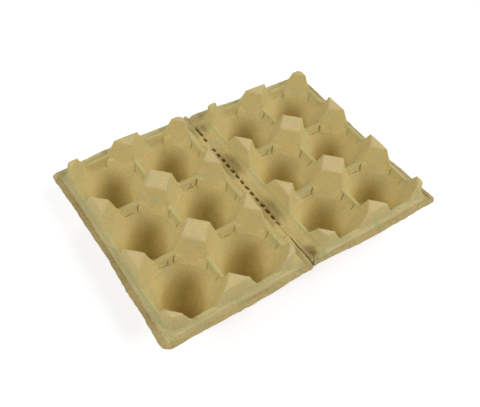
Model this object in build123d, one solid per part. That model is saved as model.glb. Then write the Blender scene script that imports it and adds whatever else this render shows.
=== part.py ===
"""Egg tray insert: one sheet of moulded pulp with twelve cups, in two halves that
meet at a perforated fold line.

Millimetres.  X runs across the fold, Y along it, +Z up.  The origin is the middle of
the tray on the plane that the cup bottoms stand on.
"""
import os
from math import atan2, degrees, sqrt

from build123d import *

# Layout of the cups
columns_per_half = 2
rows = 3
pitch_x = 49.0              # between neighbouring cups, across the fold
pitch_y = 51.3              # between neighbouring cups, along the fold
fold_gap = 21.2             # between the two post lines that face each other over the fold

# The sheet
wall = 2.0                  # thickness of the moulded pulp
flange_reach = 8.9          # flange edge beyond the outermost post lines
flange_corner_radius = 6.0
flange_height = 28.0        # top of the flange and of the fold strip

# Cups: a round bowl below a ring, an eight-sided mouth above it
ring_drop = 6.0             # ring below the flange
ring_ledge = 0.3            # least flat ledge between the ring and the foot of a post
bowl_foot_radius = 12.0     # where the side of the bowl would meet its floor
bowl_floor_fillet = 8.0

# Saddles: the narrow webs between two posts, lower inside a half than round its edge
saddle_rise = 3.6           # tops of the outer webs above the flange
long_web_rise = 2.7         # the same, inner webs along the fold
cross_web_rise = 0.5        # the same, inner webs across the fold
web_top_width = 3.0         # at the height of the outer webs
web_foot_width = 6.4        # at the ring

# Posts: four-sided pyramids with flat tops, a corner towards each neighbour
post_rise = 16.0            # flat top above the flange
post_top_reach = 10.3       # middle of the post to a corner of its flat top
post_shoulder_reach = 12.3  # the same, at the edge below the bevel
post_bevel_height = 2.8

# Outer walls of each half: where they stand, measured from the outermost post lines
wall_foot_reach = 4.6       # outside, at the flange
wall_saddle_reach = 0.6     # outside, at the top of the webs
wall_top_setback = 1.3      # inside, at the tops of the posts
wall_corner_radius = 10.0   # at the flange; it narrows as the walls lean in

# Fold: a score line with slots punched through it, torn open at the front
score_width = 2.4
score_depth = 0.7
slot_pitch = 6.5
slot_length = 4.4
slot_width = 1.8
slot_margin = 16.9          # flange edge at the back to the middle of the first slot
unpunched_slots = {3}       # counted from the back
torn_bridges = {0}          # bridges torn out, each after the slot of that number
tear_length = 31.0          # slit from the front edge inwards
tear_width = 0.6
tear_margin = 13.0          # least distance from the last slot's middle to the tear

overrun = 1.0               # how far cutting shapes run past the faces that they cut

# Heights above the plane that the tray stands on
saddle_height = flange_height + saddle_rise
post_height = flange_height + post_rise
ring_height = flange_height - ring_drop

# Places along X and Y
half_length = columns_per_half * pitch_x
half_width = rows * pitch_y / 2
inner_line = fold_gap / 2
outer_line = inner_line + half_length
half_middle = inner_line + half_length / 2
edge_x = outer_line + flange_reach
edge_y = half_width + flange_reach

# The ring just clears the webs on the closer pitch, and the posts stand back from it
ring_radius = min(pitch_x, pitch_y) / 2 - web_foot_width / 2
diagonal_distance = (pitch_x + pitch_y) / 2 / sqrt(2)
post_foot_reach = (diagonal_distance - ring_radius - ring_ledge) * sqrt(2)


def spread(count, pitch):
    """Evenly spaced places, centred on zero."""
    return [(k - (count - 1) / 2) * pitch for k in range(count)]


def at_grid(shape, columns, lines):
    """Copies of a shape on a grid of cups or posts, centred on the right half."""
    places = [(x, y) for x in spread(columns, pitch_x) for y in spread(lines, pitch_y)]
    return [Pos(half_middle + x, y) * shape for x, y in places]


def leaning_prism(face, rise, lean):
    """Prism on a face whose sides lean in by the given distance over its rise."""
    return extrude(face, rise, taper=degrees(atan2(lean, rise)))


def stacked(face, steps):
    """Prisms on top of each other, one for each (rise, lean)."""
    pile = Part()
    for rise, lean in steps:
        prism = leaning_prism(face, rise, lean)
        pile += prism
        face = prism.faces().sort_by(Axis.Z)[-1]
    return pile


def post(inset):
    """One whole post, from the ring up: its corners point along X and Y."""
    side = (post_foot_reach - inset * sqrt(2)) * sqrt(2)
    foot = Pos(0, 0, ring_height - inset) * Rot(0, 0, 45) * Rectangle(side, side)
    shaft = (post_height - post_bevel_height - ring_height, (post_foot_reach - post_shoulder_reach) / sqrt(2))
    bevel = (post_bevel_height, (post_shoulder_reach - post_top_reach) / sqrt(2))
    return stacked(foot, [shaft, bevel])


def mouth(inset):
    """Four-sided space between the webs around one cup, from the ring to above the webs."""
    narrowing = web_foot_width - 2 * inset
    foot = Pos(0, 0, ring_height - inset) * Rectangle(pitch_x - narrowing, pitch_y - narrowing)
    sides = (saddle_height - ring_height, (web_top_width - web_foot_width) / 2)
    return stacked(foot, [sides, (overrun, 0)])


def bowl(inset):
    """Round bowl of one cup, from its floor up to the ring."""
    section = Polygon(
        (-bowl_foot_radius, wall),
        (bowl_foot_radius, wall),
        (ring_radius, ring_height),
        (-ring_radius, ring_height),
        align=None,
    )
    section = fillet(section.vertices().group_by(Axis.Y)[0], bowl_floor_fillet)
    if inset:
        section = offset(section, inset, kind=Kind.INTERSECTION)
    widest = ring_radius + 2 * wall
    right_half = Rectangle(widest, ring_height - inset, align=(Align.MIN, Align.MIN))
    return revolve(Plane.XZ * (section & right_half), Axis.Z)


def envelope(inset):
    """Outer walls of the right half, filled: they bound all that stands above the flange."""
    grow = 2 * (wall_foot_reach - inset)
    foot = RectangleRounded(half_length + grow, 2 * half_width + grow, wall_corner_radius - inset)
    below_flange = (flange_height - inset, 0)
    to_saddles = (saddle_rise, wall_foot_reach - wall_saddle_reach)
    above_saddles = post_rise - saddle_rise
    lean = wall_saddle_reach + wall_top_setback
    to_above_posts = (above_saddles + overrun, lean * (above_saddles + overrun) / above_saddles)
    return Pos(half_middle, 0) * stacked(foot, [below_flange, to_saddles, to_above_posts])


def slab(inset):
    """Right half of the flange and fold strip, filled down to the table."""
    grow = overrun if inset else 0
    outline = RectangleRounded(2 * (edge_x + grow), 2 * (edge_y + grow), flange_corner_radius)
    right_half = Rectangle(2 * edge_x, 4 * edge_y, align=(Align.MIN, Align.CENTER))
    return extrude(Pos(0, 0, -grow) * (outline & right_half), flange_height - inset + grow)


def over_inner_webs(inset):
    """Spaces over the inner webs of the right half, down to their tops."""
    to_post = 2 * post_top_reach
    bottom = flange_height - inset
    deep = saddle_rise + overrun
    footed = (Align.CENTER, Align.CENTER, Align.MIN)
    across = Box(half_length - to_post, web_foot_width, deep, align=footed)
    along = Box(web_foot_width, 2 * half_width - to_post, deep, align=footed)
    for y in spread(rows - 1, pitch_y):
        yield Pos(half_middle, y, bottom + cross_web_rise) * across
    for x in spread(columns_per_half - 1, pitch_x):
        yield Pos(half_middle + x, 0, bottom + long_web_rise) * along


def filled_half(inset):
    """Right half filled down to the table: inset 0 is its top face, inset wall its underside."""
    block = envelope(inset)
    up_to_saddles = extrude(Rectangle(4 * edge_x, 4 * edge_y), saddle_height - inset)
    webs = slab(inset) + (block & up_to_saddles) - [*over_inner_webs(inset)]
    webs -= at_grid(mouth(inset), columns_per_half, rows)
    posts = Part() + at_grid(post(inset), columns_per_half + 1, rows + 1)
    return webs + (posts & block) - at_grid(bowl(inset), columns_per_half, rows)


def score_line():
    """Shallow groove along the whole fold."""
    top = flange_height + overrun
    half_top = score_width / 2 * (score_depth + overrun) / score_depth
    section = Polygon((-half_top, top), (half_top, top), (0, flange_height - score_depth), align=None)
    return extrude(Plane.XZ * section, 2 * edge_y, both=True)


def slots():
    """Slots along the fold, from the back edge to short of the tear."""
    cutter = extrude(SlotOverall(slot_length, slot_width, rotation=90), flange_height + overrun)
    room = 2 * edge_y - slot_margin - tear_length - tear_margin
    for k in range(int(room / slot_pitch) + 1):
        place = edge_y - slot_margin - k * slot_pitch
        if k not in unpunched_slots:
            yield Pos(0, place) * cutter
        if k in torn_bridges:
            yield Pos(0, place - slot_pitch / 2) * cutter


def tear():
    """Slit from the front edge inwards along the fold."""
    mouth_y = -edge_y - overrun
    cutter = Box(tear_width, tear_length + overrun, flange_height + overrun, align=Align.MIN)
    return Pos(-tear_width / 2, mouth_y) * cutter


half = filled_half(0) - filled_half(wall)
egg_tray = half + mirror(half, about=Plane.YZ) - [score_line(), *slots(), tear()]

os.makedirs("parts", exist_ok=True)
export_step(egg_tray, "parts/egg_tray.step")
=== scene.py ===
"""Moulded pulp egg tray insert, dressed: one sheet with soft edges, creases, a fold and its slots.

Metres.  X runs across the fold, Y along it, +Z up.  The sheet follows the part's own surface,
taken from above and from below, and is then softened, worn, creased and punched.
"""
from itertools import product
from math import cos, pi, radians, sin

import bmesh
import bpy
import numpy as np
from mathutils import Euler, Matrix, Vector
from mathutils.bvhtree import BVHTree


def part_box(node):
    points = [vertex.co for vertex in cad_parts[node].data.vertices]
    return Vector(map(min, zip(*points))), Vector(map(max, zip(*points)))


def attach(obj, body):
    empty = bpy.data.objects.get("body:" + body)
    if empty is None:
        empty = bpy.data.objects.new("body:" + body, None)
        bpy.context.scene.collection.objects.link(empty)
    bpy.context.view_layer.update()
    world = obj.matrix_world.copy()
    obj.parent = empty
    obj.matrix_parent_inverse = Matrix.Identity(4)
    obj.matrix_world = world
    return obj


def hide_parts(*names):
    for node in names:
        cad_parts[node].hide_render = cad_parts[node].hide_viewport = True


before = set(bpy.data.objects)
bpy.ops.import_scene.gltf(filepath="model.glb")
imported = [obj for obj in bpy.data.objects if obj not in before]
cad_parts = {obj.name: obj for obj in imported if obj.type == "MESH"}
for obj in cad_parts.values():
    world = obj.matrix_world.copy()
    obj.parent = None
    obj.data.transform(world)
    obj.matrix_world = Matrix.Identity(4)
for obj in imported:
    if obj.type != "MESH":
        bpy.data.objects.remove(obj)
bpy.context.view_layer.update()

mm = 0.001
part = "egg_tray"
low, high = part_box(part)

# Grids: one to scan the part with, one for the finished sheet with extra lines at its rim
scan_step = 0.5 * mm
sheet_step = 0.42 * mm
rim_lines = [0, 0.12 * mm, 0.3 * mm, 0.6 * mm, 1.0 * mm]
most_triangles = 176_000
sharp_angle = radians(62)

# Scanning
ring_drop = 6.0 * mm        # where the bowls end, below the flange
flange_probe = 3.0 * mm     # where the flange is measured, in from the edge
probe_step = mm / 5
ray_clearance = mm
floor_tolerance = 0.3 * mm
ring_tolerance = mm / 10
line_tolerance = mm
blur_radii = 3              # how far a blur reaches, in its own radii
last_cell = 1.001           # keeps a point on the far rim inside the last cell of a grid
noise_cells = 256

# Pressed pulp: no edge is sharp, and the side that lay on the mould is the softer one
top_softness = 0.42 * mm
underside_softness = 1.1 * mm
rim_thickness = 1.3 * mm
rim_taper = 4.5 * mm
rim_round = 0.7 * mm
foot_line = 4.8 * mm        # foot of the outer walls, in from the edge


def runs(places, wanted):
    """(start, end) of each stretch of places where the condition holds."""
    found = []
    before = False
    for place, here in zip(places, wanted):
        if here and not before:
            found.append([place, place])
        elif here:
            found[-1][1] = place
        before = here
    return found


def middles(places, wanted):
    """Middle of each stretch of places where the condition holds."""
    return [(start + end) / 2 for start, end in runs(places, wanted)]


def soften(heights, radius, step):
    """Gaussian blur of a height grid, with its rim values carried outwards."""
    reach = int(blur_radii * radius / step) + 1
    kernel = np.exp(-(np.arange(-reach, reach + 1) * step / radius) ** 2 / 2)
    kernel /= kernel.sum()
    for axis in (0, 1):
        pad = [(reach, reach) if k == axis else (0, 0) for k in (0, 1)]
        wide = np.pad(heights, pad, mode="edge")
        heights = np.apply_along_axis(np.convolve, axis, wide, kernel, mode="valid")
    return heights


class Scan:
    """What the part's own mesh tells: its two faces as height grids, and its layout."""

    def __init__(self):
        self.tree = BVHTree.FromObject(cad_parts[part], bpy.context.evaluated_depsgraph_get())
        self.edge = (high.x, high.y)
        self.xs, self.ys = [self.places(half, scan_step) for half in self.edge]
        beside = self.edge[0] - flange_probe
        self.flange = self.height(beside, 0, 1)
        self.wall = self.flange - self.height(beside, 0, -1)
        raw = self.grid(1)
        self.find_layout(raw)
        self.find_ring()
        self.top = soften(raw, top_softness, scan_step)
        self.under = soften(self.grid(-1), underside_softness, scan_step)
        along = np.arange(-self.edge[1], self.edge[1], probe_step)
        self.gaps = runs(along, [np.isnan(self.height(0.0, y, 1)) for y in along])

    @staticmethod
    def places(half, step):
        """Grid lines from edge to edge, with one at the middle."""
        return np.linspace(-half, half, 2 * int(round(half / step)) + 1)

    def height(self, x, y, side):
        """Height of the top face (side 1) or the underside (side -1), nan over a hole."""
        start = high.z + ray_clearance if side > 0 else low.z - ray_clearance
        hit = self.tree.ray_cast(Vector((x, y, start)), Vector((0, 0, -side)))[0]
        return hit.z if hit else np.nan

    def grid(self, side):
        """Heights of one face on the whole grid, with the holes closed."""
        heights = np.array([[self.height(x, y, side) for y in self.ys] for x in self.xs])
        level = self.flange if side > 0 else self.flange - self.wall
        return np.where(np.isnan(heights), level, heights)

    def find_layout(self, raw):
        """Cup places from where the floor lies lowest; the lines of posts stand half a pitch off."""
        floor = raw < raw.min() + floor_tolerance
        self.cup_x = middles(self.xs, floor.any(axis=1))
        self.cup_y = middles(self.ys, floor.any(axis=0))
        self.columns = len(self.cup_x) // 2
        self.pitch = (self.cup_x[1] - self.cup_x[0], self.cup_y[1] - self.cup_y[0])
        self.inner_line = self.cup_x[self.columns] - self.pitch[0] / 2
        self.outer_line = self.cup_x[-1] + self.pitch[0] / 2
        self.end_line = self.cup_y[-1] + self.pitch[1] / 2

    def find_ring(self):
        """Height of the ring, and how far from a cup's middle its bowl reaches it."""
        self.ring = self.flange - ring_drop
        profile = np.arange(0, self.pitch[1] / 2, probe_step)
        heights = np.array([self.height(self.cup_x[0], self.cup_y[0] + out, 1) for out in profile])
        self.ring_radius = profile[np.argmax(heights > self.ring - ring_tolerance)]


def between(grid, scan, x, y):
    """Bilinear value of a height grid at arrays of points."""
    column = np.clip((x / scan.edge[0] + 1) / 2 * (len(scan.xs) - 1), 0, len(scan.xs) - last_cell)
    line = np.clip((y / scan.edge[1] + 1) / 2 * (len(scan.ys) - 1), 0, len(scan.ys) - last_cell)
    i, j = column.astype(int), line.astype(int)
    a, b = column - i, line - j
    near = grid[i, j] * (1 - a) + grid[i + 1, j] * a
    far = grid[i, j + 1] * (1 - a) + grid[i + 1, j + 1] * a
    return near * (1 - b) + far * b


def noise(x, y, size, seed):
    """Smooth noise from -1 to 1 whose blobs have the given size."""
    table = np.random.default_rng(seed).uniform(-1, 1, (noise_cells, noise_cells))
    places = np.stack([np.asarray(x), np.asarray(y)]) / size + (noise_cells + 1) / 2
    cell = np.floor(places).astype(int)
    t = places - cell
    t = t * t * (3 - 2 * t)
    total = 0
    for a, b in product((0, 1), (0, 1)):
        weight = (t[0] if a else 1 - t[0]) * (t[1] if b else 1 - t[1])
        total = total + weight * table[(cell[0] + a) % noise_cells, (cell[1] + b) % noise_cells]
    return total


def layered(x, y, layers):
    """Sum of noises, each given by its height, the size of its blobs and its seed."""
    return sum(height * noise(x, y, size, seed) for height, size, seed in layers)


def bell(distance, width):
    """1 at no distance, falling to 0 on both sides."""
    return np.exp(-(distance / width) ** 2)


def ramp(value):
    """Smooth step from 0 to 1."""
    value = np.clip(value, 0, 1)
    return value * value * (3 - 2 * value)


def ridge(distance, place, width, height):
    """Profile of a ridge at a place, or of a groove if its height is negative."""
    return height * bell(distance - place, width)


def crease(x, y, start, end, width):
    """Bell-shaped line between two points, fading out at its ends."""
    along = np.subtract(end, start)
    length = np.hypot(*along)
    share = np.clip(((x - start[0]) * along[0] + (y - start[1]) * along[1]) / length ** 2, 0, 1)
    away = np.hypot(x - start[0] - share * along[0], y - start[1] - share * along[1])
    return bell(away, width)


# Blades: how large each is, at shares of its length
blade_size_shares = {0: 0.15, 0.25: 1, 0.7: 1, 1: 0.2}


def blade(start, end, out, width, depth):
    """Points and faces of a thin wedge, narrow at its ends, that cuts a crease between two points."""
    start, end, out = Vector(start), Vector(end), Vector(out).normalized()
    across = (end - start).cross(out).normalized()
    points, faces = [], []
    for share, size in blade_size_shares.items():
        place = start.lerp(end, share)
        side = across * width * size
        points += [place + side + out * width, place - side + out * width, place - out * depth * size]
    last = len(points) - 3
    for k in range(0, last, 3):
        for a, b in ((0, 1), (1, 2), (2, 0)):
            faces.append((k + a, k + b, k + b + 3, k + a + 3))
    faces += [(0, 2, 1), (last, last + 1, last + 2)]
    return points, faces


# Creases in the faces of the webs across and along the fold: places of their upper and lower ends,
# measured along a web from its middle and out from its middle line
cross_slit = ((7.5 * mm, 1.8 * mm), (5.3 * mm, 3.2 * mm))
long_slit = ((6.6 * mm, 1.6 * mm), (5.4 * mm, 3.1 * mm))
crease_width = 1.25 * mm
crease_depth = 2.3 * mm
crease_seed = 11
slit_scatter = (-0.5 * mm, 0.4 * mm)
slit_size_shares = (0.7, 1)
minor_share = 0.6           # of the size: in outer webs, at far ends and in faces turned away
slit_facing = (0.96, 0.28)  # out of the web's face, and up
over_top = 0.1 * mm

# A second one nearer the middle of some webs
second_crease = 4.6 * mm
second_chance = 0.6
second_depth_share = 0.7

# And one along the foot of each web across the fold
foot_half_length = 3.8 * mm
foot_out = 3.3 * mm
foot_rise = 0.4 * mm        # above the ring
foot_scatter = 1 * mm
foot_size_shares = (0.4, 0.6)
foot_facing = (0.7, 0.7)


def web_faces(scan):
    """Middle of each web, the unit vectors along it and out of one of its faces."""
    halves = [scan.cup_x[:scan.columns], scan.cup_x[scan.columns:]]
    for xs in halves:
        for x, line in product(xs, range(len(scan.cup_y) + 1)):
            y = scan.cup_y[0] + (line - 0.5) * scan.pitch[1]
            for out in (1, -1):
                if 0 <= line - (out < 0) < len(scan.cup_y):
                    yield (x, y), (1, 0), (0, out)
        for line, y in product(range(scan.columns + 1), scan.cup_y):
            x = xs[0] + (line - 0.5) * scan.pitch[0]
            for out in (1, -1):
                if 0 <= line - (out < 0) < scan.columns:
                    yield (x, y), (0, 1), (out, 0)


def web_creases(scan):
    """Folds where the webs run into the posts and along their feet; none at the back edge."""
    chance = np.random.default_rng(crease_seed)
    for middle, along, out in web_faces(scan):
        centre, along, out = np.array(middle), np.array(along), np.array(out)
        blades = [*slits(scan, chance, centre, along, out)]
        if along[0]:
            blades.append(foot_crease(scan, chance, centre, along, out))
        if centre[1] < scan.end_line - line_tolerance:
            yield from blades


def slits(scan, chance, centre, along, out):
    """Creases that run down one face of a web near its ends, shorter on faces turned away."""
    outer = max(abs(centre) - (scan.outer_line, scan.end_line)) > -line_tolerance
    turned_away = out[0] + out[1] > 0
    heights = (scan.height(*centre, 1) + over_top, scan.ring + foot_rise)
    facing = (*(slit_facing[0] * out), slit_facing[1])
    slit = cross_slit if along[0] else long_slit
    for end in (1, -1):
        ends = [centre + end * (a + chance.uniform(*slit_scatter)) * along + b * out for a, b in slit]
        start, finish = [np.array((*place, height)) for place, height in zip(ends, heights)]
        size = chance.uniform(*slit_size_shares)
        size *= (minor_share if outer else 1) * (minor_share if end < 0 else 1)
        if turned_away:
            start, size = (start + 2 * finish) / 3, minor_share * size
        yield blade(start, finish, facing, crease_width / 2 * size, crease_depth * size)
        if along[0] and end > 0 and not turned_away and chance.random() < second_chance:
            inwards = np.array((*(-second_crease * along), 0))
            start = (2 * start + finish) / 3
            depth = second_depth_share * crease_depth
            yield blade(start + inwards, finish + inwards, facing, crease_width / 2, depth)


def foot_crease(scan, chance, centre, along, out):
    """Crease along the foot of a web's face."""
    shift = chance.uniform(-foot_scatter, foot_scatter)
    a, b = [centre + (shift + end * foot_half_length) * along + foot_out * out for end in (-1, 1)]
    size = chance.uniform(*foot_size_shares)
    facing = (*(foot_facing[0] * out), foot_facing[1])
    height = scan.ring + foot_rise
    return blade((*a, height), (*b, height), facing, crease_width / 2 * size, crease_depth * size)


# Crack in the fold, from the tear to the first slot: its ends across the fold, how far it runs
# on into both, its half width and depth
crack_ends = (-0.7 * mm, -0.9 * mm)
crack_overlap = 1 * mm
crack_size = (0.55 * mm, 2.4 * mm)

# Nick beside the crack: its ends across the fold and beyond the end of the tear
nick_ends = ((-4.5 * mm, 0.8 * mm), (-3.1 * mm, 1.9 * mm))
nick_size = (0.65 * mm, 1.8 * mm)

# Kink at the front edge: its ends across the fold and in from the edge
kink_ends = ((-0.8 * mm, 3.5 * mm), (5.2 * mm, 10.0 * mm))
kink_size = (0.4 * mm, 1.6 * mm)


def fold_creases(scan):
    """Crack, nick and kink."""
    tear_end, first_slot = scan.gaps[0][1], scan.gaps[1][0]
    crack = ((crack_ends[0], tear_end - crack_overlap), (crack_ends[1], first_slot + crack_overlap))
    nick = [(x, tear_end + y) for x, y in nick_ends]
    kink = [(x, y - scan.edge[1]) for x, y in kink_ends]
    top = scan.flange + over_top
    for (start, end), size in ((crack, crack_size), (nick, nick_size), (kink, kink_size)):
        yield blade((*start, top), (*end, top), (0, 0, 1), *size)


# Rings of the cups: how far each fine step stands out from the ring, its width and its height
ring_steps = ((-0.45 * mm, 0.4 * mm, 0.18 * mm), (0.5 * mm, 0.4 * mm, -0.26 * mm))
ring_wander = [(0.3 * mm, 9 * mm, 21)]
ring_uneven = [(0.3, 11 * mm, 22)]
ring_even_share = 0.7
ring_reach = 3.5 * mm


def from_cup(scan, x, y):
    """Distances along X and Y to the middle of the nearest cup."""
    pairs = ((x, scan.cup_x), (y, scan.cup_y))
    apart = [np.asarray(place)[..., None] - cups for place, cups in pairs]
    return [np.take_along_axis(away, abs(away).argmin(-1)[..., None], -1)[..., 0] for away in apart]


def ring_lines(scan, x, y, z):
    """Fine steps round each cup where the bowl meets the sides of the mouth."""
    out = np.hypot(*from_cup(scan, x, y)) - scan.ring_radius + layered(x, y, ring_wander)
    near = bell(z - scan.ring, ring_reach) * (ring_even_share + layered(x, y, ring_uneven))
    return near * sum(ridge(out, *step) for step in ring_steps)


# Fills between the rings and the feet of the posts
fill_slope = 2.2
fill_ramp = 1.1 * mm
fill_reach = 6 * mm


def filled_corners(scan, x, y, z):
    """Closes the ledges between a cup's ring and the feet of the posts with a steep cone.

    It stops at the creases, so the face of a web between them lies deeper than its ends.
    """
    from_x, from_y = from_cup(scan, x, y)
    to_cross = scan.pitch[1] / 2 - abs(from_y)
    to_long = scan.pitch[0] / 2 - abs(from_x)
    cross = to_cross < to_long
    limit = np.zeros_like(z)
    for here, slit, off_web in ((cross, cross_slit, to_cross), (~cross, long_slit, to_long)):
        (top, top_off), (foot, foot_off) = slit
        line = foot + (top - foot) * np.clip((foot_off - off_web) / (foot_off - top_off), 0, 1)
        limit = np.where(here, line, limit)
    share = ramp((np.where(cross, abs(from_x), abs(from_y)) - limit) / fill_ramp)
    out = np.hypot(from_x, from_y) - scan.ring_radius
    cone = np.minimum(scan.ring + fill_slope * out, scan.flange)
    return z + share * np.clip(cone - z, 0, None) * (out < fill_reach)


# Bevels of the posts
shoulder = 41.0 * mm
shoulder_gain = 1.5 * mm
shoulder_share = 0.2        # of the bevel, over which it gains


def rounded_tops(z, top):
    """Makes the bevel of the posts shallower: it starts higher and reaches the same flat top."""
    share = np.clip((z - shoulder) / (top - shoulder), 0, 1)
    return z + shoulder_gain * ramp(share / shoulder_share) * (1 - share)


# Steps along the flange: how far in from the edge, width and height of each
flange_steps = (
    (2.9 * mm, 0.6 * mm, 0.3 * mm),
    (6.6 * mm, 0.4 * mm, -0.45 * mm),
    (7.9 * mm, 0.35 * mm, -0.3 * mm),
)
foot_groove = (4.6 * mm, 0.5 * mm, -0.6 * mm)
left_foot_groove = (4.6 * mm, 0.9 * mm, -0.45 * mm)
flange_wander = [(0.35 * mm, 13 * mm, 31)]
flange_uneven = [(0.35, 17 * mm, 32)]
left_run = 2 * mm
mitre_run = 3 * mm


def flange_lines(scan, x, y):
    """Steps that run along the flange and the foot of the outer walls."""
    in_x, in_y = scan.edge[0] - abs(x), scan.edge[1] - abs(y)
    rim = np.minimum(in_x, in_y) + layered(x, y, flange_wander)
    left = ramp((-x - scan.outer_line + left_run) / left_run) * ramp(1 - (in_x - in_y) / mitre_run)
    groove = [plain + (wide - plain) * left for plain, wide in zip(foot_groove, left_foot_groove)]
    steps = sum(ridge(rim, *step) for step in (*flange_steps, groove))
    return (1 + layered(x, y, flange_uneven)) * steps


# Fold: place across it, width and height of each ridge and groove along it
fold_ridges = (
    (1.5 * mm, 0.5 * mm, 0.55 * mm),
    (-3.3 * mm, 1.1 * mm, 0.3 * mm),
    (-5.6 * mm, 0.5 * mm, -0.3 * mm),
    (3.4 * mm, 1.0 * mm, -0.35 * mm),
)
fold_wander = [(0.3 * mm, 12 * mm, 41)]
fold_run_out = 4 * mm

# Pockets at the feet of the posts beside the fold, for posts at its ends and between them
pocket_from_posts = 5.4 * mm
pocket_width = 1.9 * mm
pocket_lengths = {True: 4.5 * mm, False: 9.5 * mm}
pocket_place_shares = {True: 0.945, False: 1.03}
pocket_depth = 1.1 * mm
front_pocket_depth = 2.8 * mm

# Soft creases at the ends of the fold: places across it and in from its edge, width and depth
front_crumple = ((-0.8 * mm, 3 * mm), (3.6 * mm, 9.5 * mm), 0.7 * mm, 0.9 * mm)
back_crumple = ((-0.7 * mm, 13 * mm), (0.4 * mm, 1 * mm), 0.5 * mm, 0.55 * mm)

# Ear bent up at the back end: place and reach, across the fold and in from the edge
ear_place = (-2.0 * mm, 1.5 * mm)
ear_reach = (1.6 * mm, 2.6 * mm)
ear_height = 2.2 * mm


def fold_posts(scan):
    """Place along the fold of each post beside it, whether at an end, and whether at the front."""
    for line in range(len(scan.cup_y) + 1):
        yield scan.cup_y[0] + (line - 0.5) * scan.pitch[1], line in (0, len(scan.cup_y)), line == 0


def fold_relief(scan, x, y):
    """Thin ridges beside the slots, soft pockets at the feet of the posts, and the crumpled ends."""
    wander = x + layered(0 * y, y, fold_wander)
    rise = sum(ridge(wander, *line) for line in fold_ridges)
    rise *= ramp((scan.edge[1] - abs(y)) / fold_run_out)
    foot = scan.inner_line - pocket_from_posts
    for place, at_end, at_front in fold_posts(scan):
        depth = front_pocket_depth if at_front else pocket_depth
        from_middle = y - place * pocket_place_shares[at_end]
        rise -= depth * bell(x - foot, pocket_width) * bell(from_middle, pocket_lengths[at_end])
    for side, (start, end, width, depth) in ((-1, front_crumple), (1, back_crumple)):
        ends = [(across, side * (scan.edge[1] - inwards)) for across, inwards in (start, end)]
        rise -= depth * crease(x, y, *ends, width)
    from_ear = y - scan.edge[1] + ear_place[1]
    return rise + ear_height * bell(x - ear_place[0], ear_reach[0]) * bell(from_ear, ear_reach[1])


# Bead of fibres under the fold
bead_depth = 3.0 * mm
bead_middle = -0.7 * mm
bead_reach = 4.4 * mm
bead_side = 2.2 * mm
bead_end = 1 * mm


def fold_bead(scan, x, y):
    """Bead of fibres on the underside, pushed down by the punch along the slots."""
    along = ramp((scan.edge[1] - abs(y) - bead_end) / fold_run_out)
    return bead_depth * along * ramp((bead_reach - abs(x - bead_middle)) / bead_side)


# Back left corner: warped downwards from the drying
droop_depth = 5.0 * mm
droop_start_share = 0.5
droop_foot = 8 * mm


def droop(scan, x, y, z):
    """Back left corner sunk below the rest; the cups there still stand on the table."""
    share_x = ramp((-x / scan.edge[0] - droop_start_share) / (1 - droop_start_share))
    share_y = ramp((y / scan.edge[1] - droop_start_share) / (1 - droop_start_share))
    free = ramp((z - droop_foot) / (scan.flange - droop_foot))
    return -droop_depth * share_x * share_y * free


# Unevenness: height, size and seed of each noise, and the heights over which it sets in
lump_layers = ((0.28 * mm, 15 * mm, 51), (0.12 * mm, 5 * mm, 52))
fine_layers = ((0.05 * mm, 1.9 * mm, 53), (0.035 * mm, 1.0 * mm, 54))
lump_foot = 3 * mm
lump_rise = 9 * mm


def lumps(x, y, z):
    """Unevenness that both faces share; none at the feet, which stand flat."""
    return ramp((z - lump_foot) / lump_rise) * layered(x, y, lump_layers)


# Lips of the flange
lip_hang = 0.9 * mm
lip_lift = 1.7 * mm
lift_middle = 8 * mm
lift_reach = 22 * mm
least_lift_share = 0.5


def lip(scan, x, y):
    """Hanging lips on the left and at the front, a lifted one at the back beside the fold."""
    to_side = np.minimum(scan.edge[0] + x, scan.edge[1] + y)
    hang = lip_hang * (1 - ramp(to_side / foot_line))
    share = least_lift_share + (1 - least_lift_share) * bell(x - lift_middle, lift_reach)
    lift = lip_lift * (1 - ramp((scan.edge[1] - y) / foot_line)) * share
    return lift - hang


# Outer edges: at shares of half the length of each, how many millimetres it lies inside
left_inset = {-1: 0, -0.8: 0.3, -0.62: 1.1, -0.45: 0.3, -0.05: 1.5, 0.2: 0.7, 0.6: 0.1, 1: 0}
right_inset = {-1: 0, -0.75: 0.1, -0.55: 0.3, -0.4: 1.6, 0: 1.9, 0.3: 1.2, 0.6: 0.4, 1: 0}
front_inset = {
    -1: 0.6, -0.8: 0.7, -0.5: 0, -0.3: 0.3, -0.15: 1.2, -0.03: 1.4, 0: 2.6,
    0.1: 2.6, 0.25: 1.2, 0.35: 0.3, 0.65: 0.2, 0.9: 0.7, 1: 0.3,
}
back_inset = {
    -1: 0.2, -0.5: 0.4, -0.15: 0.2, -0.02: 0.3, 0.005: 2.6,
    0.03: 0.4, 0.2: 0.4, 0.42: 1.8, 0.6: 0.4, 1: 0.3,
}
inset_reach = foot_line + 1.5 * mm
side_seed = 61
end_seed = 71

# Torn fibres at the edges: how deep, and the share and size of each wave
deckle = 0.7 * mm
deckle_waves = ((0.3, 8 * mm), (0.42, 3 * mm), (0.28, 1.2 * mm))
mean_deckle_share = 0.65
least_deckle_share = 0.05

# Corners of the flange, each worn to its own radius: (side along X, side along Y)
corner_radii = {(-1, -1): 8.0 * mm, (1, -1): 3.5 * mm, (-1, 1): 2.8 * mm, (1, 1): 5.0 * mm}


def inset_along(table, share):
    """How far an edge lies inside the nominal one, at shares of its half length."""
    return np.interp(share, list(table), [value * mm for value in table.values()])


def ragged(place, seed):
    """Torn fibre edge: how far it lies inside its line."""
    waves = [(share, size, seed + k) for k, (share, size) in enumerate(deckle_waves)]
    wave = layered(place, 0 * place, waves)
    return deckle * np.clip(mean_deckle_share + wave, least_deckle_share, None)


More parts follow.
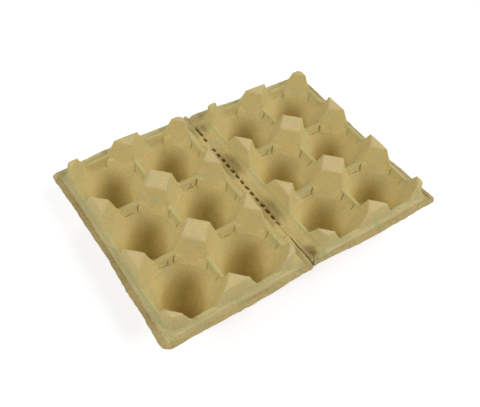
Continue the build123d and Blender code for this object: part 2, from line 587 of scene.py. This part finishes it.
def pull_in_edges(scan, u, v):
    """Moves the rim in from the nominal rectangle, more or less along its length."""
    share_u, share_v = u / scan.edge[0], v / scan.edge[1]
    in_x, in_y = scan.edge[0] - abs(u), scan.edge[1] - abs(v)
    side_x = np.where(u < 0, inset_along(left_inset, share_v), inset_along(right_inset, share_v))
    side_y = np.where(v < 0, inset_along(front_inset, share_u), inset_along(back_inset, share_u))
    side_x, side_y = side_x + ragged(v, side_seed), side_y + ragged(u, end_seed)
    x = u - np.sign(u) * side_x * (1 - ramp(in_x / inset_reach))
    y = v - np.sign(v) * side_y * (1 - ramp(in_y / inset_reach))
    return x, y


def round_corners(scan, u, v):
    """Maps the square corners of the grid onto rounded ones."""
    x, y = u.copy(), v.copy()
    for (side_x, side_y), radius in corner_radii.items():
        a = (side_x * u - (scan.edge[0] - radius)) / radius
        b = (side_y * v - (scan.edge[1] - radius)) / radius
        here = (a > 0) & (b > 0)
        a, b = np.where(here, a, 0), np.where(here, b, 0)
        x = np.where(here, side_x * (scan.edge[0] - radius + radius * a * np.sqrt(1 - b * b / 2)), x)
        y = np.where(here, side_y * (scan.edge[1] - radius + radius * b * np.sqrt(1 - a * a / 2)), y)
    return x, y


# Both faces together
rim_tolerance = mm / 1000
plain_rim = 0.2 * mm        # strip at the edge without fine relief, and the run into it
plain_run = 1.5 * mm
sink = 0.3 * mm             # how much lower the posts are than nominal, and over what height
sink_run = 10 * mm
box_margin = 0.02 * mm


def face_points(scan, us, vs, side):
    """Points of one face of the sheet on the given grid lines."""
    u, v = np.meshgrid(us, vs, indexing="ij")
    surface = filled_corners(scan, u, v, between(scan.top, scan, u, v))
    z = rounded_tops(surface, scan.top.max()) if side > 0 else between(scan.under, scan, u, v)
    rim = np.minimum(scan.edge[0] - abs(u), scan.edge[1] - abs(v))
    thinner = (scan.wall - rim_thickness) / 2 * (1 - ramp(rim / rim_taper))
    curve = 1 - np.sqrt(1 - (1 - np.clip(rim / rim_round, 0, 1)) ** 2)
    edge_height = scan.flange - scan.wall / 2
    z = np.where(rim < rim_tolerance, edge_height, z - side * (thinner + rim_thickness / 2 * curve))
    z += fold_relief(scan, u, v) + lumps(u, v, surface) + droop(scan, u, v, surface)
    z += lip(scan, u, v) - sink * ramp((surface - scan.flange) / sink_run)
    if side > 0:
        fine = ring_lines(scan, u, v, z) + flange_lines(scan, u, v) + layered(u, v, fine_layers)
        z += ramp((rim - plain_rim) / plain_run) * fine
    else:
        z -= fold_bead(scan, u, v)
    x, y = pull_in_edges(scan, *round_corners(scan, u, v))
    return np.stack([x, y, np.clip(z, low.z + box_margin, high.z - box_margin)], -1)


def grid_lines(half):
    """Places of the grid lines from rim to rim, closer together at the rims."""
    inner = half - rim_lines[-1]
    middle = np.linspace(-inner, inner, 2 * int(round(inner / sheet_step)) + 1)
    rim = half - np.array(rim_lines[:-1])
    return np.concatenate([-rim, middle, rim[::-1]])


def sheet_mesh(scan):
    """Closed mesh: a fine grid on top, one of half the density underneath, joined at the rim."""
    us, vs = grid_lines(scan.edge[0]), grid_lines(scan.edge[1])
    top = face_points(scan, us, vs, 1)
    under = face_points(scan, us[::2], vs[::2], -1)[1:-1, 1:-1]
    index = np.arange(top.shape[0] * top.shape[1]).reshape(top.shape[:2])
    under_index = index.size + np.arange(under.shape[0] * under.shape[1])
    low_index = index[::2, ::2].copy()
    low_index[1:-1, 1:-1] = under_index.reshape(under.shape[:2])
    points = np.concatenate([top.reshape(-1, 3), under.reshape(-1, 3)])
    corners = [index[:-1, :-1], index[1:, :-1], index[1:, 1:], index[:-1, 1:]]
    faces = np.stack(corners, -1).reshape(-1, 4).tolist()
    last = (low_index.shape[0] - 2, low_index.shape[1] - 2)
    for i, j in product(range(last[0] + 1), range(last[1] + 1)):
        faces.append(under_face(low_index, index, i, j, last))
    mesh = bpy.data.meshes.new("egg_tray_sheet")
    mesh.from_pydata(points.tolist(), [], faces)
    return mesh


def under_face(low_index, index, i, j, last):
    """One face of the underside, with the top grid's points between its corners at the rim."""
    loop = [low_index[i, j]]
    if i == 0:
        loop.append(index[0, 2 * j + 1])
    loop.append(low_index[i, j + 1])
    if j == last[1]:
        loop.append(index[2 * i + 1, -1])
    loop.append(low_index[i + 1, j + 1])
    if i == last[0]:
        loop.append(index[-1, 2 * j + 1])
    loop.append(low_index[i + 1, j])
    if j == 0:
        loop.append(index[2 * i + 1, 0])
    return [int(k) for k in loop]


def linked(name, data):
    """New object in the scene."""
    piece = bpy.data.objects.new(name, data)
    bpy.context.scene.collection.objects.link(piece)
    return piece


def changed(piece, kind, **settings):
    """Gives a piece the mesh that a modifier makes of it."""
    modifier = piece.modifiers.new(kind.lower(), kind)
    for name, value in settings.items():
        setattr(modifier, name, value)
    graph = bpy.context.evaluated_depsgraph_get()
    mesh = bpy.data.meshes.new_from_object(piece.evaluated_get(graph))
    piece.modifiers.clear()
    piece.data = mesh


# Slots: ragged ovals, punched a little off the middle of the fold
punch_seed = 7
punch_below = 8 * mm        # how far the punches reach below and above the flange
punch_above = 6 * mm
slot_half_width = 1.4 * mm
slot_middle = -0.6 * mm
slot_overlength = 0.4 * mm
slot_lean = (-0.5 * mm, 0.15 * mm)
slot_points = 18
slot_powers = (0.6, 0.8)    # below 1 they make an oval squarer, across and along it
slot_width_shares = (0.85, 1.12)
slot_worn_shares = (-0.16, 0.12)
slot_end_shares = (-0.05, 0.05)
first_slot_share = 0.7      # width of the slot nearest the tear
long_slot = 4 * mm          # half length from which a slot has a waist
waist_share = 0.55
waist_length_share = 0.25

# Tear from the front edge
tear_points = 16
tear_overrun = 2 * mm
tear_middle = -0.3 * mm
tear_waver = (-0.22 * mm, 0.22 * mm)
tear_half_width = 0.6 * mm
tear_width_shares = (0.6, 1.2)
tear_tip = 0.05 * mm


def prism(outline, bottom, top):
    """Points and faces of an upright prism on an outline."""
    count = len(outline)
    points = [(x, y, z) for z in (bottom, top) for x, y in outline]
    faces = [tuple(range(count))[::-1], tuple(range(count, 2 * count))]
    faces += [(k, (k + 1) % count, count + (k + 1) % count, count + k) for k in range(count)]
    return points, faces


def slot_outline(start, end, width, chance):
    """Ragged oval between two places on the fold; a long one has a waist where a bridge tore."""
    middle, half = (start + end) / 2, (end - start) / 2
    lean = chance.uniform(*slot_lean)
    width *= chance.uniform(*slot_width_shares)
    outline = []
    for k in range(slot_points):
        angle = 2 * pi * k / slot_points
        away, along = [abs(side) ** power * (1 if side > 0 else -1)
                       for side, power in zip((cos(angle), sin(angle)), slot_powers)]
        waist = waist_share if half > long_slot and abs(along) < waist_length_share else 1
        worn = 1 + chance.uniform(*slot_worn_shares)
        x = width * away * waist * worn + lean * along + slot_middle
        y = middle + (half + slot_overlength) * along * (1 + chance.uniform(*slot_end_shares))
        outline.append((x, y))
    return outline


def tear_outline(start, end, chance):
    """Thin wavering slit that runs out of the front edge."""
    places = np.linspace(start - tear_overrun, end, tear_points)
    waver = [tear_middle + chance.uniform(*tear_waver) for _ in places]
    half = [tear_half_width * chance.uniform(*tear_width_shares) for _ in places]
    half[-1] = tear_tip
    right = [(x + w, y) for x, w, y in zip(waver, half, places)]
    left = [(x - w, y) for x, w, y in zip(waver, half, places)]
    return right + left[::-1]


def punches(scan):
    """Tear and slots, from the front to the back, to be cut through the fold."""
    chance = np.random.default_rng(punch_seed)
    for number, (start, end) in enumerate(scan.gaps):
        if number:
            width = slot_half_width * (first_slot_share if number == 1 else 1)
            outline = slot_outline(start, end, width, chance)
        else:
            outline = tear_outline(start, end, chance)
        yield prism(outline, scan.flange - punch_below, scan.flange + punch_above)


def cut(piece, cutters):
    """Cuts shapes, given as points and faces, out of a piece."""
    points, faces = [], []
    for more, sides in cutters:
        faces += [tuple(k + len(points) for k in side) for side in sides]
        points += more
    mesh = bpy.data.meshes.new("punch")
    mesh.from_pydata(points, [], faces)
    turned = bmesh.new()
    turned.from_mesh(mesh)
    bmesh.ops.recalc_face_normals(turned, faces=turned.faces)
    turned.to_mesh(mesh)
    turned.free()
    cutter = linked("punch", mesh)
    changed(piece, "BOOLEAN", operation="DIFFERENCE", object=cutter, solver="MANIFOLD")
    bpy.data.objects.remove(cutter)


def connected_groups(whole):
    """Vertices of a mesh, as one list for each connected group."""
    waiting = dict.fromkeys(whole.verts)
    while waiting:
        group = [waiting.popitem()[0]]
        for vert in group:
            others = [edge.other_vert(vert) for edge in vert.link_edges]
            fresh = [other for other in others if other in waiting]
            for other in fresh:
                waiting.pop(other)
            group += fresh
        yield group


def without_hollows(piece):
    """Deletes the closed hollows that creases leave where they lie wholly inside the sheet."""
    whole = bmesh.new()
    whole.from_mesh(piece.data)
    groups = sorted(connected_groups(whole), key=len)
    bmesh.ops.delete(whole, geom=[vert for group in groups[:-1] for vert in group], context="VERTS")
    whole.to_mesh(piece.data)
    whole.free()


class Nodes:
    """Short way to add and wire shader nodes."""

    def __init__(self, name, owner=None):
        self.material = owner or bpy.data.materials.new(name)
        self.material.use_nodes = True
        self.tree = self.material.node_tree
        self.shader = self.tree.nodes.get("Principled BSDF")

    def add(self, kind, inputs=None, **settings):
        """New node with its settings, and its inputs filled or wired."""
        node = self.tree.nodes.new(kind)
        for name, value in settings.items():
            setattr(node, name, value)
        for name, value in (inputs or {}).items():
            self.put(node.inputs[name], value)
        return node

    def put(self, socket, value):
        """Wires an output to a socket, or sets the socket to a plain value."""
        if isinstance(value, bpy.types.NodeSocket):
            self.tree.links.new(value, socket)
        else:
            socket.default_value = value

    def math(self, operation, *values, clamp=False):
        """Result of one sum on values or outputs."""
        inputs = dict(enumerate(values))
        node = self.add("ShaderNodeMath", inputs, operation=operation, use_clamp=clamp)
        return node.outputs[0]

    def times(self, first, *others):
        """Product of any number of values."""
        for other in others:
            first = self.math("MULTIPLY", first, other)
        return first

    def off(self, value, middle):
        """Distance of a value from a middle, on either side."""
        return self.math("ABSOLUTE", self.math("SUBTRACT", value, middle))

    def squares(self, one, other):
        """Sum of two squares."""
        return self.math("ADD", self.math("POWER", one, 2.0), self.math("POWER", other, 2.0))

    def noise(self, place, size, detail=2.0, rough=0.5, warp=0.0):
        """Noise whose blobs have the given size."""
        inputs = {"Scale": 1 / size, "Detail": detail, "Roughness": rough, "Distortion": warp}
        return self.add("ShaderNodeTexNoise", {"Vector": place, **inputs}).outputs["Fac"]

    def between(self, value, start, end, to_start=0.0, to_end=1.0):
        """Maps a value from one range to another, clamped."""
        inputs = {"Value": value, "From Min": start, "From Max": end, "To Min": to_start, "To Max": to_end}
        node = self.add("ShaderNodeMapRange", inputs, interpolation_type="SMOOTHSTEP")
        return node.outputs["Result"]

    def mix(self, share, one, other, blend="MIX"):
        """Blends a share of the other colour into the first."""
        node = self.add("ShaderNodeMix", data_type="RGBA", blend_type=blend)
        for name, value in (("Factor_Float", share), ("A_Color", one), ("B_Color", other)):
            socket = next(s for s in node.inputs if s.identifier == name)
            self.put(socket, value)
        return next(s for s in node.outputs if s.identifier == "Result_Color")


# Colours of the pulp, and tints that it is multiplied by
straw = (0.590, 0.468, 0.168, 1)
grey_green = (0.500, 0.455, 0.208, 1)
wall_green = (0.450, 0.405, 0.185, 1)
pinkish = (0.640, 0.450, 0.230, 1)
brown = (0.300, 0.200, 0.070, 1)
pale = (0.760, 0.640, 0.360, 1)
# pinker tone of the post tops, also darker as painted shade
post_top_pink_and_shade = (0.545, 0.400, 0.215, 1)
# painted shade for the walls of the slots and the tear
slot_shade_brown = (0.13, 0.085, 0.02, 1)
# brown tint for the flange and the fold: partly the flange's own duller tone, partly painted shade
brown_shade_tint = (0.67, 0.57, 0.42, 1)
# painted shade deep in the bowls
deep_shade_tint = (1.0, 0.96, 0.78, 1)
web_tint = (0.86, 0.92, 0.86, 1)
# painted shade for the pockets at the feet of the posts by the fold
pocket_shade_tint = (0.32, 0.27, 0.14, 1)

# Noises of the pulp: the size of their blobs, detail, roughness and distortion
cloud_noise = (11 * mm, 3.0, 0.6)
tint_noise = (6 * mm, 3.0, 0.65, 0.6)
blotch_noise = (4 * mm, 3.0, 0.6, 0.4)
break_noise = (9 * mm, 1.0)
mottle_noise = (1.5 * mm, 3.0, 0.7)
grain_noise = (0.35 * mm, 2.0, 0.6)
fibre_noise = (0.32 * mm, 1.5, 0.5, 1.2)

# Fibres: two directions, and how much each is stretched
fibre_turns = ((0.3, 0.2, 0.5), (0.3, 0.2, -0.9))
fibre_stretch = (0.16, 1.0, 0.5)

# Ramps: the range of a noise, height or distance that each runs over, and its shares at both ends
even_ramp = (12 * mm, 25 * mm, 0.45, 1.0)
cloud_ramp = (0.48, 0.66, 0.0, 0.72)
tint_ramp = (0.54, 0.68, 0.0, 0.58)
deep_shade_ramp = (14 * mm, 4 * mm)
outside_ramp = (-1.5 * mm, 1.5 * mm, 0.0, 0.7)
blotch_ramp = (0.5, 0.66, 0.0, 0.7)
long_web_ramp = (2.6 * mm, 1.8 * mm)
cross_web_ramp = (2.6 * mm, 1.8 * mm, 0.0, 0.55)
web_height_ramp = (5.5 * mm, 4 * mm)
rim_ramp = (-1.5 * mm, 1.3 * mm, 0.0, 0.7)
left_rim_ramp = (8 * mm - high.x, 3 * mm - high.x, 0.0, 0.75)
back_rim_ramp = (high.y - 3 * mm, high.y - 8 * mm, 0.1, 1.0)
off_corner_ramp = (high.y - 8 * mm, high.y - 40 * mm)
post_top_ramp = (high.z - 2.0 * mm, high.z - 0.7 * mm, 0.0, 0.32)
near_fold_ramp = (7.5 * mm, 4.5 * mm, 0.0, 0.32)
ring_height_ramp = (4.5 * mm, 2 * mm)
ring_break_ramp = (0.45, 0.6)
slot_side_ramp = (2.6 * mm, 2.0 * mm)
slot_depth_ramp = (1.2 * mm, 1.9 * mm, 0.0, 0.8)
pale_mottle_ramp = (0.3, 0.72, 0.0, 0.3)
brown_mottle_ramp = (0.44, 0.26, 0.0, 0.28)
fibre_ramp = (0.66, 0.8, 0.0, 0.4)
grain_ramp = (0.6, 0.74, 0.0, 0.34)
roughness_ramp = (0.3, 0.7, 0.8, 0.97)

# Painted highlight and painted shade round each bowl, as a light and a dark line: how far outside the
# ring, reach and share
ring_highlight_and_shade = ((0.35 * mm, 0.55 * mm, 0.2), (-0.5 * mm, 0.7 * mm, 0.13))

# Painted shade in the pockets at the feet of the posts beside the fold, for posts at its ends and between
# them
pocket_shade_from_posts = 5.6 * mm
pocket_shade_reaches = {True: (4.2 * mm, 6.5 * mm), False: (3.3 * mm, 13 * mm)}
pocket_shade_place_shares = {True: 0.93, False: 1.03}
pocket_shade_share = 0.2
front_pocket_shade_share = 0.65

# Shine, and how much each layer adds to the bump
pulp_specular = 0.25
mottle_bump = 0.9
grain_bump = 0.35
fibre_bump = 0.4
bump_strength = 0.55
bump_distance = 0.35 * mm


def fibres(nodes, place):
    """Two sets of short streaks, crossing each other, that wander with a larger noise."""
    sets = []
    for turn in fibre_turns:
        inputs = {"Vector": place, "Rotation": turn, "Scale": fibre_stretch}
        stretched = nodes.add("ShaderNodeMapping", inputs).outputs["Vector"]
        sets.append(nodes.noise(stretched, *fibre_noise))
    return nodes.math("MAXIMUM", *sets)


def beyond(nodes, x, y, line_x, line_y):
    """How far a point lies outside a rectangle round the middle of the tray."""
    out_x = nodes.math("SUBTRACT", nodes.math("ABSOLUTE", x), line_x)
    out_y = nodes.math("SUBTRACT", nodes.math("ABSOLUTE", y), line_y)
    return nodes.math("MAXIMUM", out_x, out_y)


def off_cup(nodes, scan, x, y):
    """Distances along X and Y from the middle of the cup that a point belongs to."""
    half_x, half_y = scan.pitch[0] / 2, scan.pitch[1] / 2
    from_fold = nodes.math("SUBTRACT", nodes.math("ABSOLUTE", x), scan.inner_line + half_x)
    off_x = nodes.math("WRAP", from_fold, half_x, -half_x)
    off_y = nodes.math("WRAP", nodes.math("SUBTRACT", y, scan.cup_y[0]), half_y, -half_y)
    return off_x, off_y


def fold_pocket_shades(nodes, scan, x, y):
    """Painted shade: a dark soft spot in each pocket at the feet of the posts on the right side of the
    fold.
    """
    off_x = nodes.math("SUBTRACT", x, scan.inner_line - pocket_shade_from_posts)
    for place, at_end, at_front in fold_posts(scan):
        reach_x, reach_y = pocket_shade_reaches[at_end]
        off_y = nodes.math("SUBTRACT", y, place * pocket_shade_place_shares[at_end])
        ratios = [nodes.math("DIVIDE", off_x, reach_x), nodes.math("DIVIDE", off_y, reach_y)]
        share = front_pocket_shade_share if at_front else pocket_shade_share
        yield nodes.between(nodes.squares(*ratios), 1.0, 0.0, 0.0, share)


def web_top_share(nodes, scan, x, y, z):
    """The tops of the webs are a little darker and greener."""
    shares = []
    for off, pitch, ramps in zip(off_cup(nodes, scan, x, y), scan.pitch, (long_web_ramp, cross_web_ramp)):
        to_line = nodes.math("SUBTRACT", pitch / 2, nodes.math("ABSOLUTE", off))
        shares.append(nodes.between(to_line, *ramps))
    above_flange = nodes.math("SUBTRACT", z, scan.flange)
    return nodes.times(nodes.math("MAXIMUM", *shares), nodes.between(above_flange, *web_height_ramp))


def painted_ring_lines(nodes, scan, place, x, y, z):
    """Shares of the painted highlight and the painted shade, a light and a dark line where each bowl meets
    the sides of its mouth.
    """
    from_middle = nodes.math("SQRT", nodes.squares(*off_cup(nodes, scan, x, y)))
    out = nodes.math("SUBTRACT", from_middle, scan.ring_radius)
    at_height = nodes.between(nodes.off(z, scan.ring), *ring_height_ramp)
    unbroken = nodes.between(nodes.noise(place, *break_noise), *ring_break_ramp)
    for offset, reach, share in ring_highlight_and_shade:
        line = nodes.between(nodes.off(out, offset), reach, 0.0, 0.0, share)
        yield nodes.times(line, at_height, unbroken)


def slot_wall_shade(nodes, scan, x, z):
    """Painted shade on the walls of the slots and the tear, below the flange."""
    beside = nodes.between(nodes.off(x, slot_middle), *slot_side_ramp)
    below = nodes.between(nodes.math("SUBTRACT", scan.flange, z), *slot_depth_ramp)
    return nodes.times(beside, below)


def rim_tone_and_shade(nodes, x, y):
    """How much the flange is browned and darkened, partly its own duller tone and partly painted shade: on
    the flange, most on its left side, least at the back.
    """
    rim = nodes.between(beyond(nodes, x, y, high.x - foot_line, high.y - foot_line), *rim_ramp)
    left = nodes.between(x, *left_rim_ramp)
    off_corners = nodes.between(nodes.math("ABSOLUTE", y), *off_corner_ramp)
    both = nodes.math("ADD", rim, nodes.times(left, off_corners, rim), clamp=True)
    return nodes.times(both, nodes.between(y, *back_rim_ramp))


def wide_colours(nodes, scan, place, x, y, z):
    """Straw, clouded and tinted; darker and yellower deep in the bowls, as painted shade; greyer outside
    the outermost posts.
    """
    even = nodes.between(z, *even_ramp)
    cloud = nodes.times(nodes.between(nodes.noise(place, *cloud_noise), *cloud_ramp), even)
    tint = nodes.times(nodes.between(nodes.noise(place, *tint_noise), *tint_ramp), even)
    colour = nodes.mix(tint, nodes.mix(cloud, straw, grey_green), pinkish)
    # painted shade: darker and yellower deep in the bowls
    colour = nodes.mix(nodes.between(z, *deep_shade_ramp), colour, deep_shade_tint, "MULTIPLY")
    outside = nodes.between(beyond(nodes, x, y, scan.outer_line, scan.end_line), *outside_ramp)
    colour = nodes.mix(outside, colour, wall_green)
    blotch = nodes.between(nodes.noise(place, *blotch_noise), *blotch_ramp)
    return nodes.mix(nodes.times(blotch, outside), colour, pinkish)


def local_colours(nodes, scan, colour, place, x, y, z):
    """What belongs to one form: web tops; rim and post tops, their own tone with painted shade; painted
    shade along the fold, on the slot walls and in the pockets by the fold; painted highlight and shade at
    the rings.
    """
    colour = nodes.mix(web_top_share(nodes, scan, x, y, z), colour, web_tint, "MULTIPLY")
    # flange: its own duller tone with painted shade, most on its left side
    colour = nodes.mix(rim_tone_and_shade(nodes, x, y), colour, brown_shade_tint, "MULTIPLY")
    # post tops: their own pinker tone, and darker as painted shade
    colour = nodes.mix(nodes.between(z, *post_top_ramp), colour, post_top_pink_and_shade)
    # painted shade along the fold
    fold_shade = nodes.between(nodes.math("ABSOLUTE", x), *near_fold_ramp)
    colour = nodes.mix(fold_shade, colour, brown_shade_tint, "MULTIPLY")
    # painted highlight and painted shade round the rings of the bowls
    ring_highlight, ring_shade = painted_ring_lines(nodes, scan, place, x, y, z)
    colour = nodes.mix(ring_highlight, colour, pale)
    colour = nodes.mix(ring_shade, colour, brown)
    # painted shade on the walls of the slots and the tear
    colour = nodes.mix(slot_wall_shade(nodes, scan, x, z), colour, slot_shade_brown)
    # painted shade in the pockets at the feet of the posts by the fold
    for post_foot_shade in fold_pocket_shades(nodes, scan, x, y):
        colour = nodes.mix(post_foot_shade, colour, pocket_shade_tint, "MULTIPLY")
    return colour


def pulp_material(scan):
    """Moulded pulp: warm straw colour, mottled and faintly tinted, with short fibres and a soft bump."""
    nodes = Nodes("pulp")
    place = nodes.add("ShaderNodeTexCoord").outputs["Object"]
    x, y, z = nodes.add("ShaderNodeSeparateXYZ", {"Vector": place}).outputs
    streaks = fibres(nodes, place)
    mottled = nodes.noise(place, *mottle_noise)
    grain = nodes.noise(place, *grain_noise)

    colour = wide_colours(nodes, scan, place, x, y, z)
    colour = local_colours(nodes, scan, colour, place, x, y, z)
    colour = nodes.mix(nodes.between(mottled, *pale_mottle_ramp), colour, pale)
    colour = nodes.mix(nodes.between(mottled, *brown_mottle_ramp), colour, brown)
    colour = nodes.mix(nodes.between(streaks, *fibre_ramp), colour, brown)
    colour = nodes.mix(nodes.between(grain, *grain_ramp), colour, pale)
    nodes.put(nodes.shader.inputs["Base Color"], colour)
    nodes.put(nodes.shader.inputs["Roughness"], nodes.between(mottled, *roughness_ramp))
    nodes.put(nodes.shader.inputs["Specular IOR Level"], pulp_specular)

    height = nodes.math("ADD", nodes.times(mottled, mottle_bump), nodes.times(grain, grain_bump))
    height = nodes.math("ADD", height, nodes.times(streaks, fibre_bump))
    inputs = {"Height": height, "Strength": bump_strength, "Distance": bump_distance}
    nodes.put(nodes.shader.inputs["Normal"], nodes.add("ShaderNodeBump", inputs).outputs["Normal"])
    return nodes.material


def build_tray():
    """The one visual piece of the tray."""
    scan = Scan()
    tray = linked("egg_tray_pulp", sheet_mesh(scan))
    triangles = sum(len(face.vertices) - 2 for face in tray.data.polygons)
    if triangles > most_triangles:
        changed(tray, "DECIMATE", ratio=most_triangles / triangles)
    cut(tray, [*punches(scan), *web_creases(scan), *fold_creases(scan)])
    without_hollows(tray)
    tray.data.shade_smooth()
    tray.data.set_sharp_from_angle(angle=sharp_angle)
    tray.data.materials.clear()
    tray.data.materials.append(pulp_material(scan))
    tray.data.polygons.foreach_set("material_index", [0] * len(tray.data.polygons))
    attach(tray, "root")
    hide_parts(part)


# Camera at the photograph's place, found by fitting the grid of posts
camera_sensor = 36.0
camera_lens = 43.906
camera_place = (-0.18653, -0.22435, 0.35384)
camera_turn = (0.69434, -0.07552, -0.59413)


def add_camera():
    """The photograph's view."""
    camera = bpy.data.cameras.new("camera")
    camera.sensor_width = camera_sensor
    camera.lens = camera_lens
    holder = linked("camera", camera)
    holder.location = camera_place
    holder.rotation_euler = Euler(camera_turn)
    bpy.context.scene.camera = holder


# Softboxes: bearing and height angle in degrees, and power in watts
softboxes = {
    "left_softbox": (166, 36, 10.6),
    "right_softbox": (292, 40, 9.0),
    "side_softbox": (342, 37, 6.4),
    "front_softbox": (228, 48, 2.4),
    "back_softbox": (50, 16, 6.0),
}
softbox_size = 0.6
softbox_distance = 1.5
aim_point = Vector((0, 0, 0.02))


def add_softbox(name, turn, rise, power):
    """Round area light at a bearing and a height angle, aimed at the tray."""
    light = bpy.data.lights.new(name, "AREA")
    light.shape = "DISK"
    light.size = softbox_size
    light.energy = power
    turn, rise = radians(turn), radians(rise)
    towards = Vector((cos(turn) * cos(rise), sin(turn) * cos(rise), sin(rise)))
    holder = linked(name, light)
    holder.location = softbox_distance * towards + aim_point
    holder.rotation_euler = towards.to_track_quat("Z", "Y").to_euler()


def seen_directly(nodes):
    """1 for what the camera sees, also in a reflection or through glass, and 0 for bounced light."""
    path = nodes.add("ShaderNodeLightPath").outputs
    seen = nodes.math("MAXIMUM", path["Is Camera Ray"], path["Is Glossy Ray"])
    return nodes.math("MAXIMUM", seen, path["Is Transmission Ray"])


# Floor and surroundings
white = (1, 1, 1, 1)
floor_grey = (0.6, 0.6, 0.6, 1)
floor_reach = 3.0
floor_glow_ramp = (0.4, 1.5, 0.6, 1.0)      # metres from the tray, and the glow there
world_strength = 0.1


def add_floor():
    """Plain floor that keeps its shadows: it looks white up to the horizon, but bounces little light."""
    mesh = bpy.data.meshes.new("floor")
    corners = [(x * floor_reach, y * floor_reach, 0) for x, y in ((-1, -1), (1, -1), (1, 1), (-1, 1))]
    mesh.from_pydata(corners, [], [(0, 1, 2, 3)])
    floor = linked("floor", mesh)
    nodes = Nodes("floor")
    nodes.shader.inputs["Roughness"].default_value = 1.0
    nodes.shader.inputs["Specular IOR Level"].default_value = 0.0
    nodes.shader.inputs["Base Color"].default_value = floor_grey
    nodes.shader.inputs["Emission Color"].default_value = white
    place = nodes.add("ShaderNodeTexCoord").outputs["Object"]
    away = nodes.add("ShaderNodeVectorMath", {0: place}, operation="LENGTH").outputs["Value"]
    glow = nodes.between(away, *floor_glow_ramp)
    nodes.put(nodes.shader.inputs["Emission Strength"], nodes.times(seen_directly(nodes), glow))
    mesh.materials.append(nodes.material)


def add_world():
    """White behind the floor, and faint as a light."""
    world = bpy.data.worlds.new("world")
    nodes = Nodes("world", world)
    background = world.node_tree.nodes["Background"]
    background.inputs["Color"].default_value = white
    seen = nodes.math("MULTIPLY_ADD", seen_directly(nodes), 1 - world_strength, world_strength)
    nodes.put(background.inputs["Strength"], seen)
    bpy.context.scene.world = world


build_tray()
add_floor()
add_camera()
add_world()
for name, (turn, rise, power) in softboxes.items():
    add_softbox(name, turn, rise, power)

bpy.context.scene.view_settings.view_transform = "Standard"
